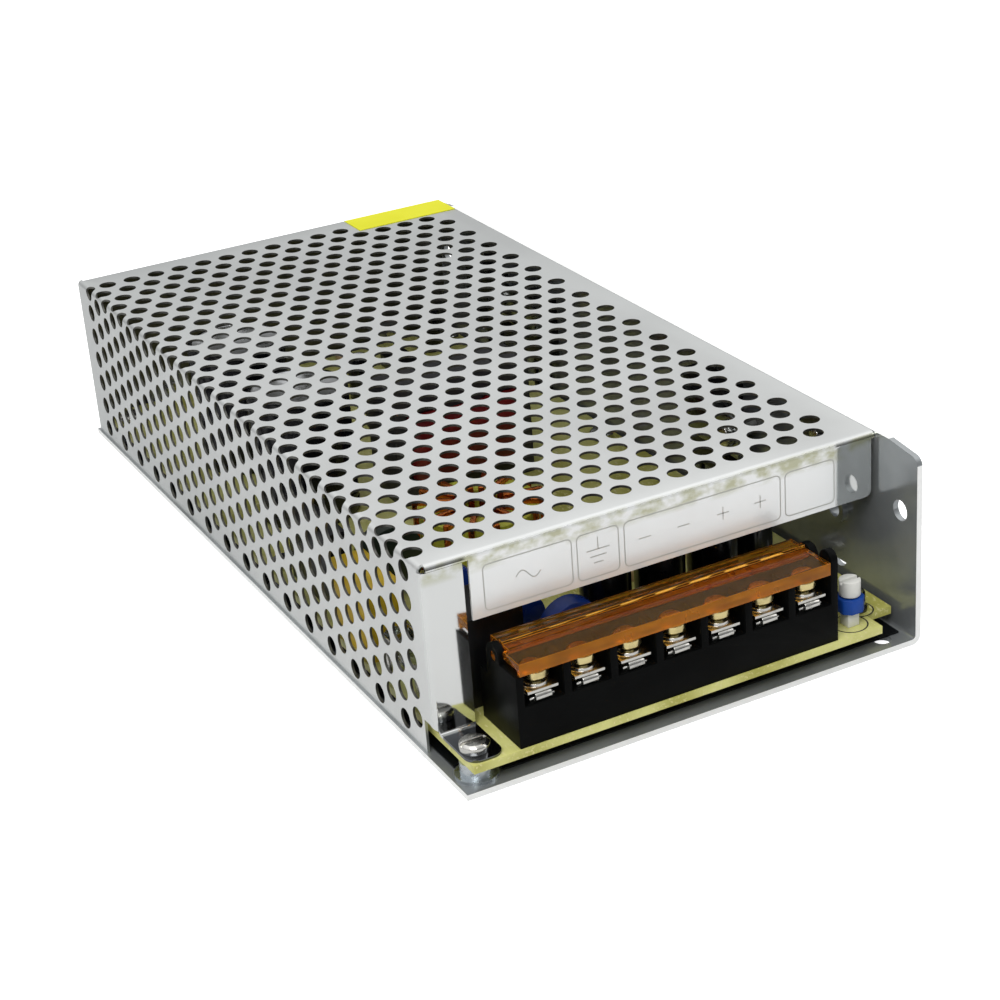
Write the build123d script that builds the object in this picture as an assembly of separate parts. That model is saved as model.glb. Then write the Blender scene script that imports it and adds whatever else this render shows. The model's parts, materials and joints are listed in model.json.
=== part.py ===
from build123d import *
import os

# Outside size of the supply. X runs across it, with the tray's side wall at +X, the terminals are
# at the -Y end, and the bottom plate lies on Z = 0.
case_length = 199.0
case_width = 98.0
case_height = 40.0

# Aluminium tray: bottom plate and right side wall folded from one sheet
tray_sheet = 1.2
tray_bend_radius = 2.0
wall_corner_run = 9.0
wall_corner_drop = 1.2
wall_corner_radius = 2.0

# Steel cover: perforated top and left side, front flange with a foot, and rear wall
cover_sheet = 0.5
cover_bend_radius = 1.2
cover_left_inset = 0.5
cover_rear_inset = 1.1
cover_wall_gap = 0.1
terminal_shelf = 12.9
flange_height = 13.1
flange_corner_radius = 2.5
tab_width = 8.3
tab_slot = 1.2
relief_depth = 3.7
relief_height = 2.2
foot_length = 11.7
foot_corner_radius = 2.5

# Perforation: rows of gaps across the case, each row set off by half a pitch
gap_width = 8.0
gap_sides = 8
gap_pitch = 12.0
gap_row_pitch = 11.0
gap_edge = 5.9
gap_row_edge = 9.9
side_gap_edge = 7.5

# Flange hole and cover fixings
flange_hole_radius = 2.0
flange_hole_from_right = 4.1
flange_hole_below_top = 9.4
fixing_clearance_radius = 1.6
lug_width = 12.0
lug_height = 9.0
side_lug_from_end = 29.5
side_lug_hole_depth = 6.0
rear_tab_width = 10.0
rear_tab_height = 10.0
rear_tab_from_side = 19.0
rear_tab_hole_height = 7.5

# Yellow label at the rear right of the cover's top
label_width = 26.5
label_depth = 9.4
label_thickness = 0.15

# Screws
screw_radius = 1.5
screw_head_radius = 2.8
screw_head_height = 1.8
screw_head_chamfer = 0.5
screw_slot_width = 0.8
screw_slot_depth = 0.7
low_head_height = 0.9
fixing_screw_reach = 3.6
lug_screw_reach = 2.4
countersink_radius = 2.7
thread_play = 0.05

# Mounting holes in the tray
thread_hole_radius = 1.65
bottom_thread_from_side = 24.0
bottom_thread_from_end = 24.5
side_thread_from_end = 24.5
side_thread_height = 19.7
collar_radius = 3.0
collar_length = 1.2
side_hole_radius = 2.1
side_hole_from_end = 5.1
side_hole_height = 26.5
corner_hole_radius = 1.8
corner_hole_from_right = 6.5
corner_hole_from_front = 3.5
moon_hole_radius = 2.7
moon_hole_depth = 1.4
moon_hole_from_front = 24.5
moon_hole_height = 9.6

# Circuit board on its standoffs, and the insulating sheet below it
standoff_height = 3.2
standoff_radius = 3.0
standoff_base_radius = 4.0
standoff_base_height = 0.6
board_thickness = 1.6
board_front_margin = 0.7
board_rear_margin = 4.0
board_left_margin = 2.0
board_right_margin = 2.4
notch_width = 6.1
notch_depth = 5.4
board_hole_play = 0.2
left_standoff_margin = 5.5
right_standoff_margin = 6.2
rear_standoff_margin = 7.5
insulator_thickness = 0.4
insulator_margin = 3.0
insulator_hole_radius = 4.6

# Seven-pole terminal block
pole_count = 7
barrier_thickness = 1.5
block_from_tab = 2.7
block_from_right = 18.5
block_depth = 14.0
block_front_inset = 0.3
bay_floor_height = 8.0
barrier_height = 14.2
bay_depth = 9.1
barrier_depth = 6.1
deck_height = 10.5
ear_width = 5.0
ear_radius = 2.5
lug_depth = 3.8
lug_top_height = 18.6
screw_bore_depth = 5.0
screw_bore_play = 0.15

# Terminal contacts, clamp plates and clamp screws
contact_width = 5.0
contact_thickness = 0.8
contact_roll_radius = 0.9
contact_roll_width = 3.2
contact_front_inset = 0.2
clamp_width = 6.2
clamp_thickness = 0.6
clamp_seat_radius = 2.5
clamp_seat_height = 0.6
clamp_lift = 1.9
pole_centre_depth = 3.6
clamp_screw_radius = 1.45
clamp_screw_head_radius = 2.6
clamp_screw_head_height = 1.8
clamp_screw_neck = 0.9
clamp_screw_reach = 4.2
clamp_play = 0.1

# Hinged amber lid
lid_thickness = 1.5
lid_depth = 12.6
lid_front_overhang = 0.3
lid_lip_thickness = 0.9
lid_lip_height = 1.0
lid_lip_clearance = 0.2
lid_left_inset = 0.7
lid_end_gap = 0.3
hinge_from_front = 8.5
hinge_below_lid = 0.5
hinge_rod_radius = 1.1
hinge_pin_radius = 0.9
hinge_pin_play = 0.05
hinge_pin_inset = 0.2
lid_ridge_width = 1.2
lid_ridge_height = 0.5
lid_ear_clearance = 0.4

# Trimmer and indicator lamp at the board's front right corner
trimmer_from_right = 13.0
trimmer_from_board_front = 4.2
trimmer_stem_width = 2.6
trimmer_stem_height = 3.2
trimmer_body_width = 5.0
trimmer_body_height = 3.0
trimmer_knob_radius = 2.1
trimmer_knob_height = 3.2
trimmer_knob_gap = 0.3
trimmer_shaft_radius = 0.8
trimmer_shaft_depth = 1.8
trimmer_shaft_play = 0.08
lamp_from_right = 8.4
lamp_from_board_front = 8.0
lamp_radius = 1.5
lamp_height = 5.0
lamp_rim_radius = 1.9
lamp_rim_height = 1.0

# Parts on the board: lengths along X, Y and Z, radii and heights
fuse_length = 20.0
fuse_radius = 2.6
fuse_axis_height = 6.0
clip_length = 5.0
clip_sheet = 0.5
line_choke_size = (12.0, 13.0, 18.0)
x_capacitor_size = (8.0, 18.0, 15.0)
disc_thickness = 4.0
disc_lead_height = 2.0
large_disc_radius = 7.0
middle_disc_radius = 6.0
small_disc_radius = 5.0
lead_width = 1.0
bridge_size = (3.8, 22.0, 18.0)
cover_clearance = 4.5
primary_capacitor_radius = 11.0
output_capacitor_radius = 5.0
output_capacitor_height = 22.0
can_groove = 0.4
can_groove_height = 2.2
can_groove_width = 1.2
core_size = (33.0, 14.0, 27.0)
core_bar = 6.0
core_leg = 10.0
winding_depth = 22.0
winding_play = 0.3
driver_core_size = (17.0, 6.0, 13.0)
driver_core_bar = 3.0
driver_core_leg = 5.0
driver_winding_depth = 13.0
choke_outer_radius = 12.5
choke_inner_radius = 6.5
choke_height = 11.0
choke_wire = 1.2
choke_turns = 16
chip_size = (6.4, 20.0, 3.4)
resistor_radius = 1.3
resistor_length = 8.0
small_can_radius = 2.7
small_can_height = 11.0

# Power devices held to the tray's wall by bars
device_lead_length = 9.0
device_lug_gap = 0.2
transistor_thickness = 4.4
transistor_width = 10.0
rectifier_thickness = 4.8
rectifier_width = 15.6
clamp_bar_thickness = 2.0
clamp_bar_width = 9.0
clamp_bar_overhang = 4.0
clamp_bar_below_top = 3.8

# Planes and edges worked out from the sizes above
left_edge = -case_width / 2
right_edge = case_width / 2
front_edge = -case_length / 2
rear_edge = case_length / 2
wall_inner = right_edge - tray_sheet
cover_left = left_edge + cover_left_inset
cover_right = wall_inner - cover_wall_gap
cover_front = front_edge + terminal_shelf
cover_rear = rear_edge - cover_rear_inset
cover_under = case_height - cover_sheet
flange_bottom = case_height - flange_height
tab_right = cover_left + tab_width
board_bottom = tray_sheet + standoff_height
board_top = board_bottom + board_thickness
board_front = front_edge + board_front_margin
board_rear = rear_edge - board_rear_margin
board_left = left_edge + board_left_margin
board_right = right_edge - board_right_margin
foot_top = board_top + cover_sheet
foot_screw_x = cover_left + tab_width / 2
foot_screw_y = cover_front - foot_length + tab_width / 2
block_front = board_front + block_front_inset
block_rear = block_front + block_depth
block_left = tab_right + block_from_tab
block_right = right_edge - block_from_right
pole_pitch = (block_right - block_left - barrier_thickness) / pole_count
bay_floor = board_top + bay_floor_height
barrier_top = board_top + barrier_height
deck_top = board_top + deck_height
lug_top = board_top + lug_top_height
pole_y = block_front + pole_centre_depth
contact_top = bay_floor + contact_thickness
clamp_bottom = bay_floor + clamp_lift
clamp_top = clamp_bottom + clamp_thickness + clamp_seat_height
clamp_head_bottom = clamp_top + clamp_screw_neck
lid_lip_bottom = barrier_top + lid_lip_clearance
lid_bottom = lid_lip_bottom + lid_lip_height
lid_top = lid_bottom + lid_thickness
lid_front = block_front - lid_front_overhang
hinge_y = block_front + hinge_from_front
hinge_z = lid_bottom - hinge_below_lid
rear_tab_outer = cover_rear - cover_sheet - cover_wall_gap
trimmer_x = right_edge - trimmer_from_right
trimmer_y = board_front + trimmer_from_board_front
trimmer_stem_top = board_top + trimmer_stem_height
trimmer_body_top = trimmer_stem_top + trimmer_body_height
trimmer_knob_bottom = trimmer_body_top + trimmer_knob_gap
lamp_x = right_edge - lamp_from_right
lamp_y = board_front + lamp_from_board_front
device_bottom = board_top + device_lead_length
transistor_top = case_height - lug_height - device_lug_gap
rectifier_top = cover_under - cover_clearance
clamp_bar_z = transistor_top - clamp_bar_below_top
primary_capacitor_height = cover_under - cover_clearance - board_top


def block(x, y, z):
    """A box between the two values given for each axis."""
    size = Box(x[1] - x[0], y[1] - y[0], z[1] - z[0])
    return Pos((x[0] + x[1]) / 2, (y[0] + y[1]) / 2, (z[0] + z[1]) / 2) * size


def post(x, y, z, radius):
    """A round bar along Z between two heights."""
    return Pos(x, y, (z[0] + z[1]) / 2) * Cylinder(radius, z[1] - z[0])


def bar_x(x, y, z, radius):
    """A round bar along X between two values of X."""
    return Pos((x[0] + x[1]) / 2, y, z) * Rot(0, 90, 0) * Cylinder(radius, x[1] - x[0])


def bar_y(x, y, z, radius):
    """A round bar along Y between two values of Y."""
    return Pos(x, (y[0] + y[1]) / 2, z) * Rot(90, 0, 0) * Cylinder(radius, y[1] - y[0])


def nearest_edge(shape, axis, point):
    """The edge parallel to an axis whose middle lies nearest to a point."""
    return min(shape.edges().filter_by(axis), key=lambda e: (e.center() - Vector(*point)).length)


def pan_screw(x, y, seat, reach):
    """A slotted pan-head screw along Z, its head on a seat and its shank reaching below it."""
    head_top = seat + screw_head_height
    head = post(x, y, (seat, head_top), screw_head_radius)
    head = chamfer(head.edges().group_by(Axis.Z)[-1], screw_head_chamfer)
    shank = post(x, y, (seat - reach, seat), screw_radius)
    slot = block(
        (x - screw_head_radius, x + screw_head_radius),
        (y - screw_slot_width / 2, y + screw_slot_width / 2),
        (head_top - screw_slot_depth, head_top),
    )
    return head + shank - slot


def save(name, *solids):
    """Write one node, given as one solid or as several separate ones."""
    shape = solids[0] if len(solids) == 1 else Compound(children=list(solids))
    export_step(shape, f"parts/{name}.step")


def spot(width_share, length_share):
    """A place on the board, given by shares of the case's width and length from its middle."""
    return width_share * case_width, length_share * case_length


# Places that several pieces share
side_lug_places = [front_edge + side_lug_from_end, rear_edge - side_lug_from_end]
side_thread_places = [front_edge + side_thread_from_end, rear_edge - side_thread_from_end]
side_lug_hole_z = case_height - side_lug_hole_depth
rear_tab_places = [left_edge + rear_tab_from_side, right_edge - rear_tab_from_side]
rear_tab_hole_z = tray_sheet + rear_tab_hole_height
left_standoff_x = left_edge + left_standoff_margin
right_standoff_x = right_edge - right_standoff_margin
rear_standoff_y = board_rear - rear_standoff_margin
left_standoff_rows = [spot(0, -0.035)[1], rear_standoff_y]
right_standoff_rows = [spot(0, -0.332)[1], spot(0, 0.05)[1], rear_standoff_y]
board_screw_places = [(left_standoff_x, y) for y in left_standoff_rows]
board_screw_places += [(right_standoff_x, y) for y in right_standoff_rows]
standoff_places = [(foot_screw_x, foot_screw_y)] + board_screw_places
bottom_thread_places = [
    (x, y)
    for x in (left_edge + bottom_thread_from_side, right_edge - bottom_thread_from_side)
    for y in (front_edge + bottom_thread_from_end, rear_edge - bottom_thread_from_end)
]
pole_places = [block_left + barrier_thickness / 2 + pole_pitch * (i + 0.5) for i in range(pole_count)]

# Middles of the parts on the board
fuse_place = spot(-0.437, -0.347)
line_choke_place = spot(-0.332, -0.377)
x_capacitor_place = spot(-0.431, -0.234)
thermistor_place = spot(-0.316, -0.166)
bridge_place = spot(-0.429, -0.118)
transformer_place = spot(0.051, 0.050)
driver_place = spot(0.102, 0.231)
output_choke_place = spot(-0.082, -0.141)
chip_place = spot(0.245, 0.362)
large_disc_place = spot(-0.301, -0.283)
middle_disc_place = spot(-0.153, -0.392)
small_disc_place = spot(-0.204, -0.332)
primary_capacitor_places = [spot(-0.286, 0.251), spot(-0.286, 0.075)]
output_capacitor_places = [
    spot(-0.041, -0.362),
    spot(0.082, -0.362),
    spot(0.204, -0.362),
    spot(0.327, -0.332),
]
resistor_places = [
    spot(-0.122, 0.352),
    spot(-0.061, 0.312),
    spot(0.000, 0.372),
    spot(0.143, 0.442),
    spot(0.367, 0.302),
    spot(0.245, -0.251),
    spot(0.122, -0.261),
]
small_can_places = [spot(0.367, 0.422), spot(0.082, 0.332), spot(0.306, 0.231), spot(0.347, -0.231)]
transistor_rows = [spot(0, 0.211)[1], spot(0, 0.332)[1]]
rectifier_row = spot(0, -0.171)[1]
clamp_screw_places = [
    (sum(transistor_rows) / len(transistor_rows), clamp_bar_z),
    (rectifier_row - rectifier_width / 2 - clamp_bar_overhang, clamp_bar_z),
]


def chassis():
    """The tray: bottom plate and side wall in one folded sheet, with its holes and rear tabs."""
    plate = block((left_edge, right_edge), (front_edge, rear_edge), (0, tray_sheet))
    wall = block((wall_inner, right_edge), (front_edge, rear_edge), (0, case_height))
    tray = plate + wall
    tray = fillet(nearest_edge(tray, Axis.Y, (right_edge, 0, 0)), tray_bend_radius)
    tray = fillet(nearest_edge(tray, Axis.Y, (wall_inner, 0, tray_sheet)), tray_bend_radius - tray_sheet)
    for end in (-1, 1):
        tip = end * case_length / 2
        slope = Polyline(
            (wall_inner, tip - end * wall_corner_run, case_height),
            (wall_inner, tip, case_height - wall_corner_drop),
            (wall_inner, tip, case_height),
            close=True,
        )
        tray -= extrude(make_face(slope), tray_sheet, dir=(1, 0, 0))
        corner = nearest_edge(tray, Axis.X, (wall_inner, tip, case_height - wall_corner_drop))
        tray = fillet(corner, wall_corner_radius)
        tray -= bar_x((wall_inner, right_edge), end * (case_length / 2 - side_hole_from_end), side_hole_height,
                      side_hole_radius)
    for y in side_thread_places:
        tray += bar_x((wall_inner - collar_length, wall_inner), y, side_thread_height, collar_radius)
        tray -= bar_x((wall_inner - collar_length, right_edge), y, side_thread_height, thread_hole_radius)
    for x, y in bottom_thread_places:
        tray -= post(x, y, (0, tray_sheet), thread_hole_radius)
    corner_hole_x = right_edge - corner_hole_from_right
    tray -= post(corner_hole_x, front_edge + corner_hole_from_front, (0, tray_sheet), corner_hole_radius)
    moon_y = front_edge + moon_hole_from_front
    moon = bar_x((wall_inner, right_edge), moon_y, moon_hole_height, moon_hole_radius)
    moon_flat = moon_hole_height - moon_hole_radius + moon_hole_depth
    moon -= block(
        (wall_inner, right_edge),
        (moon_y - moon_hole_radius, moon_y + moon_hole_radius),
        (moon_flat, moon_hole_height + moon_hole_radius),
    )
    tray -= moon
    for x in rear_tab_places:
        sides = (x - rear_tab_width / 2, x + rear_tab_width / 2)
        inner = rear_tab_outer - tray_sheet
        tray += block(sides, (inner, rear_tab_outer), (tray_sheet, tray_sheet + rear_tab_height))
        tray -= block(sides, (inner - rear_tab_height, inner), (0, tray_sheet))
        tray -= bar_y(x, (inner, rear_tab_outer), rear_tab_hole_z, screw_radius + thread_play)
    for y in side_lug_places:
        tray -= bar_x((wall_inner, right_edge), y, side_lug_hole_z, fixing_clearance_radius)
        sink = Rot(0, 90, 0) * Cone(fixing_clearance_radius, countersink_radius, tray_sheet)
        tray -= Pos(wall_inner + tray_sheet / 2, y, side_lug_hole_z) * sink
    for y, z in clamp_screw_places:
        tray -= bar_x((wall_inner, right_edge), y, z, screw_radius + thread_play)
    return tray


def folded_shell(left, right, front, rear, low, high, radius):
    """A box whose top edges and left corners are rounded, as the cover's outside or inside."""
    shape = block((left, right), (front, rear), (low, high))
    top = shape.edges().group_by(Axis.Z)[-1].sort_by(Axis.X)[:-1]
    corners = shape.edges().filter_by(Axis.Z).group_by(Axis.X)[0]
    return fillet(top + corners, radius)


def gap_rows():
    """The rows of the perforation: how far along each lies, and whether it is set off."""
    count = int((cover_rear - cover_front - 2 * gap_row_edge) / gap_row_pitch + 0.5) + 1
    first = (cover_front + cover_rear + (count - 1) * gap_row_pitch) / 2
    return [(first - i * gap_row_pitch, i % 2) for i in range(count)]


def gap_prisms():
    """The many-sided prisms that pierce the cover's top and its left side."""
    outline = RegularPolygon(gap_width / 2, gap_sides, major_radius=False, rotation=180 / gap_sides)
    across = int((cover_right - cover_left - 2 * gap_edge) / gap_pitch) + 1
    middle = (cover_left + cover_right) / 2
    down = int((case_height - tray_sheet - 2 * side_gap_edge) / gap_pitch) + 1
    top_gaps = Sketch()
    side_gaps = Sketch()
    for y, offset in gap_rows():
        first_x = middle - (across - 1 - offset) * gap_pitch / 2
        top_gaps += [Pos(first_x + i * gap_pitch, y) * outline for i in range(across - offset)]
        first_z = tray_sheet + side_gap_edge + offset * gap_pitch / 2
        side_gaps += [Pos(first_z + i * gap_pitch, y) * outline for i in range(down - offset)]
    top_prisms = Pos(0, 0, cover_under) * extrude(top_gaps, cover_sheet)
    side_prisms = Pos(cover_left + cover_sheet, 0, 0) * Rot(0, -90, 0) * extrude(side_gaps, cover_sheet)
    return top_prisms, side_prisms


def mesh_cover():
    """The cover: perforated top and left side, front flange, corner tab with a foot, rear wall."""
    beyond = cover_right + 1
    outer = folded_shell(cover_left, beyond, cover_front, cover_rear, tray_sheet, case_height, cover_bend_radius)
    inner = folded_shell(
        cover_left + cover_sheet,
        beyond,
        cover_front + cover_sheet,
        cover_rear - cover_sheet,
        0,
        cover_under,
        cover_bend_radius - cover_sheet,
    )
    shell = outer - inner
    shell -= block((cover_right, beyond), (front_edge, rear_edge), (0, case_height))
    flange = (cover_front, cover_front + cover_sheet)
    shell -= block((tab_right, cover_right), flange, (0, flange_bottom))
    shell -= block((tab_right, tab_right + tab_slot), flange, (flange_bottom, case_height - cover_bend_radius))
    shell -= block((cover_left, tab_right), flange, (0, board_top))
    shell -= block(
        (cover_right - tray_bend_radius, cover_right),
        (cover_rear - cover_sheet, cover_rear),
        (tray_sheet, tray_sheet + tray_bend_radius),
    )
    shell -= block(
        (cover_left, cover_left + cover_bend_radius),
        (cover_front + cover_sheet, cover_front + relief_depth),
        (0, board_top + relief_height),
    )
    flange_end = nearest_edge(shell, Axis.Y, (cover_right, cover_front, flange_bottom))
    shell = fillet(flange_end, flange_corner_radius)
    foot = block((cover_left, tab_right), (cover_front - foot_length, cover_front + cover_sheet), (board_top, foot_top))
    toes = foot.edges().filter_by(Axis.Z).group_by(Axis.Y)[0]
    shell += fillet(toes, foot_corner_radius)
    shell -= post(foot_screw_x, foot_screw_y, (board_top, foot_top), fixing_clearance_radius)
    hole_z = case_height - flange_hole_below_top
    shell -= bar_y(cover_right - flange_hole_from_right, flange, hole_z, flange_hole_radius)
    for y in side_lug_places:
        lug_span = (y - lug_width / 2, y + lug_width / 2)
        shell += block((cover_right - cover_sheet, cover_right), lug_span, (case_height - lug_height, cover_under))
        shell -= bar_x((cover_right - cover_sheet, cover_right), y, side_lug_hole_z, screw_radius + thread_play)
    for x in rear_tab_places:
        shell -= bar_y(x, (cover_rear - cover_sheet, cover_rear), rear_tab_hole_z, fixing_clearance_radius)
    top_prisms, side_prisms = gap_prisms()
    return shell - top_prisms - side_prisms


def yellow_label():
    """The bare label laid on the top's rear right corner."""
    sides = (cover_right - label_width, cover_right)
    rear = cover_rear - cover_bend_radius
    return block(sides, (rear - label_depth, rear), (case_height, case_height + label_thickness))


def cover_screws():
    """Low-headed screws through the rear wall and countersunk ones through the tray's wall."""
    screws = []
    for x in rear_tab_places:
        head = bar_y(x, (cover_rear, cover_rear + low_head_height), rear_tab_hole_z, screw_head_radius)
        shank = (rear_tab_outer - fixing_screw_reach, cover_rear)
        screws.append(head + bar_y(x, shank, rear_tab_hole_z, screw_radius))
    for y in side_lug_places:
        cone = Rot(0, 90, 0) * Cone(screw_radius, countersink_radius - thread_play, tray_sheet)
        head = Pos(wall_inner + tray_sheet / 2, y, side_lug_hole_z) * cone
        shank = (cover_right - lug_screw_reach, wall_inner)
        screws.append(head + bar_x(shank, y, side_lug_hole_z, screw_radius))
    return screws


def standoffs():
    """Round posts with a flared base, tapped for the board's screws."""
    posts = []
    for x, y in standoff_places:
        base = post(x, y, (tray_sheet, tray_sheet + standoff_base_height), standoff_base_radius)
        body = base + post(x, y, (tray_sheet, board_bottom), standoff_radius)
        posts.append(body - post(x, y, (tray_sheet, board_bottom), screw_radius + thread_play))
    return posts


def insulating_sheet():
    """The thin sheet that lies on the plate below the board, cut out round the standoffs."""
    sheet = block(
        (board_left, board_right),
        (board_front + insulator_margin, board_rear - rear_tab_height),
        (tray_sheet, tray_sheet + insulator_thickness),
    )
    for x, y in standoff_places:
        sheet -= post(x, y, (tray_sheet, tray_sheet + insulator_thickness), insulator_hole_radius)
    return sheet


def circuit_board():
    """The board, with the notch that leaves the tray's corner hole free."""
    board = block((board_left, board_right), (board_front, board_rear), (board_bottom, board_top))
    board -= block(
        (board_right - notch_width, board_right), (board_front, board_front + notch_depth), (board_bottom, board_top)
    )
    for x, y in standoff_places:
        board -= post(x, y, (board_bottom, board_top), screw_radius + board_hole_play)
    return board


def terminal_block():
    """The black housing: a base, seven bays between barriers, hinge ears and end lugs."""
    body = block((block_left, block_right), (block_front, block_rear), (board_top, deck_top))
    for i in range(pole_count + 1):
        x = block_left + i * pole_pitch
        body += block((x, x + barrier_thickness), (block_front, block_front + barrier_depth), (deck_top, barrier_top))
    for x in pole_places:
        sides = (x - (pole_pitch - barrier_thickness) / 2, x + (pole_pitch - barrier_thickness) / 2)
        body -= block(sides, (block_front, block_front + bay_depth), (bay_floor, deck_top))
        body -= post(x, pole_y, (bay_floor - screw_bore_depth, bay_floor), clamp_screw_radius + screw_bore_play)
    for x in (block_left, block_right - barrier_thickness):
        sides = (x, x + barrier_thickness)
        body += block(sides, (hinge_y - ear_width / 2, hinge_y + ear_width / 2), (deck_top, hinge_z))
        body += bar_x(sides, hinge_y, hinge_z, ear_radius)
        body -= bar_x(sides, hinge_y, hinge_z, hinge_pin_radius + hinge_pin_play)
    lug = (block_right - barrier_thickness, block_right)
    lug_middle = block_front + lug_depth / 2
    body += block(lug, (block_front, block_front + lug_depth), (barrier_top, lug_top - lug_depth / 2))
    body += bar_x(lug, lug_middle, lug_top - lug_depth / 2, lug_depth / 2)
    return body


def terminal_contacts():
    """One metal strip on each bay's floor, rolled up at the front."""
    contacts = []
    roll_y = block_front + contact_front_inset + contact_roll_radius
    for x in pole_places:
        strip = block(
            (x - contact_width / 2, x + contact_width / 2),
            (roll_y, block_front + bay_depth),
            (bay_floor, contact_top),
        )
        roll = (x - contact_roll_width / 2, x + contact_roll_width / 2)
        strip += bar_x(roll, roll_y, bay_floor + contact_roll_radius, contact_roll_radius)
        strip -= post(x, pole_y, (bay_floor, contact_top), clamp_screw_radius + clamp_play)
        contacts.append(strip)
    return contacts


def clamp_plate(x):
    """The square washer that presses the wire, with the round seat of its spring washer."""
    half = clamp_width / 2
    plate = block((x - half, x + half), (pole_y - half, pole_y + half), (clamp_bottom, clamp_bottom + clamp_thickness))
    plate += post(x, pole_y, (clamp_bottom, clamp_top), clamp_seat_radius)
    return plate - post(x, pole_y, (clamp_bottom, clamp_top), clamp_screw_radius + clamp_play)


def terminal_screw(x):
    """The captive clamp screw with its slotted pan head."""
    head_top = clamp_head_bottom + clamp_screw_head_height
    head = post(x, pole_y, (clamp_head_bottom, head_top), clamp_screw_head_radius)
    head = chamfer(head.edges().group_by(Axis.Z)[-1], screw_head_chamfer)
    shank = post(x, pole_y, (bay_floor - clamp_screw_reach, clamp_head_bottom), clamp_screw_radius)
    slot = block(
        (x - clamp_screw_head_radius, x + clamp_screw_head_radius),
        (pole_y - screw_slot_width / 2, pole_y + screw_slot_width / 2),
        (head_top - screw_slot_depth, head_top),
    )
    return head + shank - slot


def terminal_lid():
    """The clear lid: a plate with a front lip, a ridge on top and a hinge rod with end pins."""
    inner_left = block_left + barrier_thickness + lid_end_gap
    inner_right = block_right - barrier_thickness - lid_end_gap
    ear_front = hinge_y - ear_radius - lid_ear_clearance
    rear = lid_front + lid_depth
    front_part = (block_left + lid_left_inset, inner_right)
    lid = block(front_part, (lid_front, ear_front), (lid_bottom, lid_top))
    lid += block((inner_left, inner_right), (ear_front, rear), (lid_bottom, lid_top))
    lid += block(front_part, (lid_front, lid_front + lid_lip_thickness), (lid_lip_bottom, lid_bottom))
    lid += bar_x((inner_left, inner_right), hinge_y, hinge_z, hinge_rod_radius)
    lid += bar_x((block_left + hinge_pin_inset, block_right - hinge_pin_inset), hinge_y, hinge_z, hinge_pin_radius)
    ridge = (hinge_y - lid_ridge_width / 2, hinge_y + lid_ridge_width / 2)
    return lid + block((inner_left, inner_right), ridge, (lid_top, lid_top + lid_ridge_height))


def trimmer_stem():
    """The pale foot that holds the trimmer off the board."""
    half = trimmer_stem_width / 2
    sides = (trimmer_x - half, trimmer_x + half)
    return block(sides, (trimmer_y - half, trimmer_y + half), (board_top, trimmer_stem_top))


def trimmer_body():
    """The blue housing that the knob turns in."""
    half = trimmer_body_width / 2
    sides = (trimmer_x - half, trimmer_x + half)
    body = block(sides, (trimmer_y - half, trimmer_y + half), (trimmer_stem_top, trimmer_body_top))
    body = chamfer(body.edges().filter_by(Axis.Z), half / 2)
    well = (trimmer_body_top - trimmer_shaft_depth, trimmer_body_top)
    return body - post(trimmer_x, trimmer_y, well, trimmer_shaft_radius + trimmer_shaft_play)


def trimmer_knob():
    """The white knob with a screwdriver slot and the shaft below it."""
    knob_top = trimmer_knob_bottom + trimmer_knob_height
    knob = post(trimmer_x, trimmer_y, (trimmer_knob_bottom, knob_top), trimmer_knob_radius)
    knob += post(
        trimmer_x,
        trimmer_y,
        (trimmer_body_top - trimmer_shaft_depth + trimmer_knob_gap, trimmer_knob_bottom),
        trimmer_shaft_radius,
    )
    return knob - block(
        (trimmer_x - trimmer_knob_radius, trimmer_x + trimmer_knob_radius),
        (trimmer_y - screw_slot_width / 2, trimmer_y + screw_slot_width / 2),
        (knob_top - screw_slot_depth, knob_top),
    )


def indicator_lamp():
    """A clear round lamp with a domed top and a rim at the board."""
    dome_z = board_top + lamp_height - lamp_radius
    lamp = post(lamp_x, lamp_y, (board_top, board_top + lamp_rim_height), lamp_rim_radius)
    lamp += post(lamp_x, lamp_y, (board_top, dome_z), lamp_radius)
    return lamp + Pos(lamp_x, lamp_y, dome_z) * Sphere(lamp_radius)


def boxed(place, size):
    """A box-shaped component that stands on the board."""
    x, y = place
    heights = (board_top, board_top + size[2])
    return block((x - size[0] / 2, x + size[0] / 2), (y - size[1] / 2, y + size[1] / 2), heights)


def fuse():
    """The glass fuse that lies in its two clips."""
    x, y = fuse_place
    return bar_y(x, (y - fuse_length / 2, y + fuse_length / 2), board_top + fuse_axis_height, fuse_radius)


def fuse_clips():
    """Two folded clips: a base, a stem and two upright sides each."""
    clips = []
    x, y = fuse_place
    outside = fuse_radius + clip_sheet
    cradle = board_top + fuse_axis_height - fuse_radius
    for end in (-1, 1):
        middle = y + end * (fuse_length - clip_length) / 2
        span = (middle - clip_length / 2, middle + clip_length / 2)
        clip = block((x - outside, x + outside), span, (board_top, cradle + 2 * fuse_radius))
        clips.append(clip - block((x - fuse_radius, x + fuse_radius), span, (cradle, cradle + 2 * fuse_radius)))
    return clips


def disc(place, radius):
    """A disc-shaped component on edge, with its pair of leads."""
    x, y = place
    middle = board_top + disc_lead_height + radius
    shape = bar_y(x, (y - disc_thickness / 2, y + disc_thickness / 2), middle, radius)
    for side in (-1, 1):
        lead = x + side * radius / 2
        shape += block(
            (lead - lead_width / 2, lead + lead_width / 2),
            (y - lead_width / 2, y + lead_width / 2),
            (board_top, middle),
        )
    return shape


def can(x, y, radius, height):
    """A round capacitor with the groove that its sleeve has near the base."""
    shape = post(x, y, (board_top, board_top + height), radius)
    groove = (board_top + can_groove_height, board_top + can_groove_height + can_groove_width)
    return shape - (post(x, y, groove, radius) - post(x, y, groove, radius - can_groove))


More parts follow.
